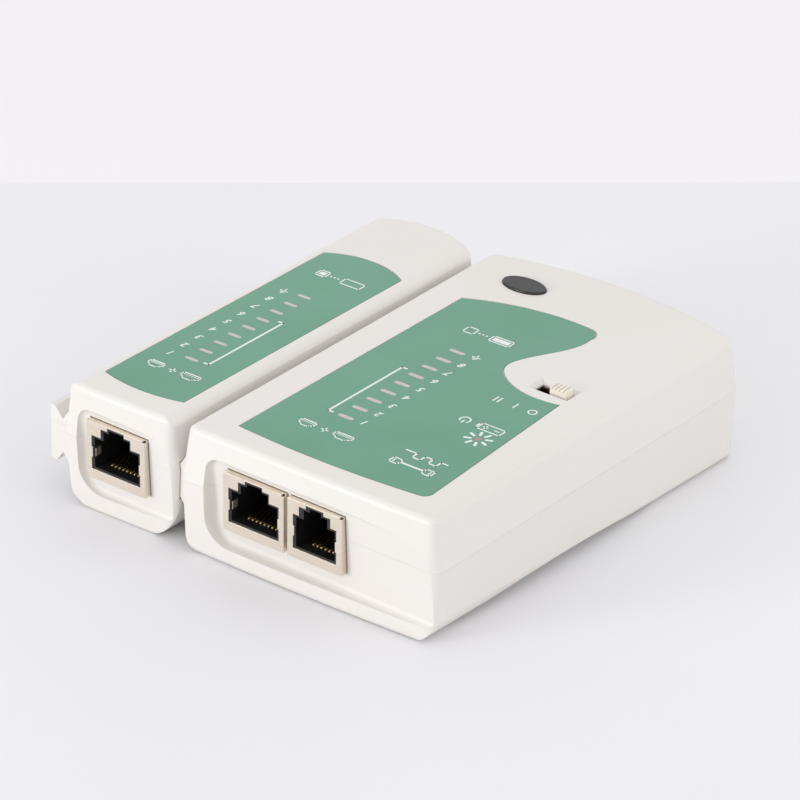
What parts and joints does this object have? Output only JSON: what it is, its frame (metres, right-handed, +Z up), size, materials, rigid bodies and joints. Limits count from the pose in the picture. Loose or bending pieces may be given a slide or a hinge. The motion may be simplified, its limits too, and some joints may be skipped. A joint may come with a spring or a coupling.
{
  "type": "network cable tester",
  "caption": "Network cable tester with a master unit and a slim remote that slides off its dovetail rail, with shielded jacks, indicator rows, slide switch and battery bay.",
  "frame": {"origin": "under the centre of the mated pair, on the surface it stands on", "axes": "+X along the jack end from the remote to the master, +Y from the jack end to the back, +Z up"},
  "size_m": [0.1019, 0.1101, 0.0291],
  "materials": {
    "case_cream": "fine moulded grain",
    "label_green": "printed satin film",
    "badge_black": "polished",
    "shield_tin": "tin-plated sheet",
    "insert_black": "moulded",
    "contact_gold": "gold flash",
    "board_green": "solder mask",
    "lamp_milky": "diffused lens",
    "lamp_red": "diffused lens",
    "laminate_brown": "pressed laminate",
    "frame_steel": "plated sheet",
    "knob_cream": "moulded",
    "chip_black": "moulded",
    "resistor_tan": "lacquered",
    "diode_amber": "glass bead",
    "capacitor_blue": "sleeve",
    "battery_jacket": "printed jacket",
    "stud_nickel": "nickel plate",
    "snap_vinyl": "soft vinyl",
    "lead_red": "wire insulation",
    "lead_black": "wire insulation",
    "screw_steel": "zinc plate"
  },
  "bodies": {
    "master": {"master_top_shell": "case_cream", "master_bottom_shell": "case_cream", "master_label": "label_green", "oval_badge": "badge_black", "rj45_shield": "shield_tin", "rj45_insert": "insert_black", "rj45_contacts": "contact_gold", "rj11_shield": "shield_tin", "rj11_insert": "insert_black", "rj11_contacts": "contact_gold", "master_pcb": "board_green", "master_leds": "lamp_milky", "power_led": "lamp_red", "switch_base": "laminate_brown", "switch_can": "frame_steel", "counter_chip": "chip_black", "timer_chip": "chip_black", "master_resistors": "resistor_tan", "master_capacitor": "capacitor_blue", "battery_body": "battery_jacket", "battery_terminals": "stud_nickel", "battery_snap": "snap_vinyl", "battery_lead_red": "lead_red", "battery_lead_black": "lead_black", "master_case_screws": "screw_steel", "master_pcb_screws": "screw_steel"},
    "remote": {"remote_top_shell": "case_cream", "remote_bottom_shell": "case_cream", "remote_label": "label_green", "remote_pcb": "board_green", "remote_shield": "shield_tin", "remote_insert": "insert_black", "remote_contacts": "contact_gold", "remote_leds": "lamp_milky", "remote_diodes": "diode_amber", "remote_case_screws": "screw_steel", "remote_pcb_screws": "screw_steel"},
    "switch_knob": {"switch_knob": "knob_cream"},
    "battery_door": {"battery_door": "case_cream"}
  },
  "joints": [
    {"name": "remote_slide", "type": "slide", "parent": "master", "child": "remote", "axis": [0, -1, 0], "range_m": [0, 0.104]},
    {"name": "switch_slide", "type": "slide", "parent": "master", "child": "switch_knob", "axis": [-1, 0, 0], "range_m": [0, 0.0036]},
    {"name": "battery_door_slide", "type": "slide", "parent": "master", "child": "battery_door", "axis": [0, 1, 0], "range_m": [0, 0.034]}
  ]
}
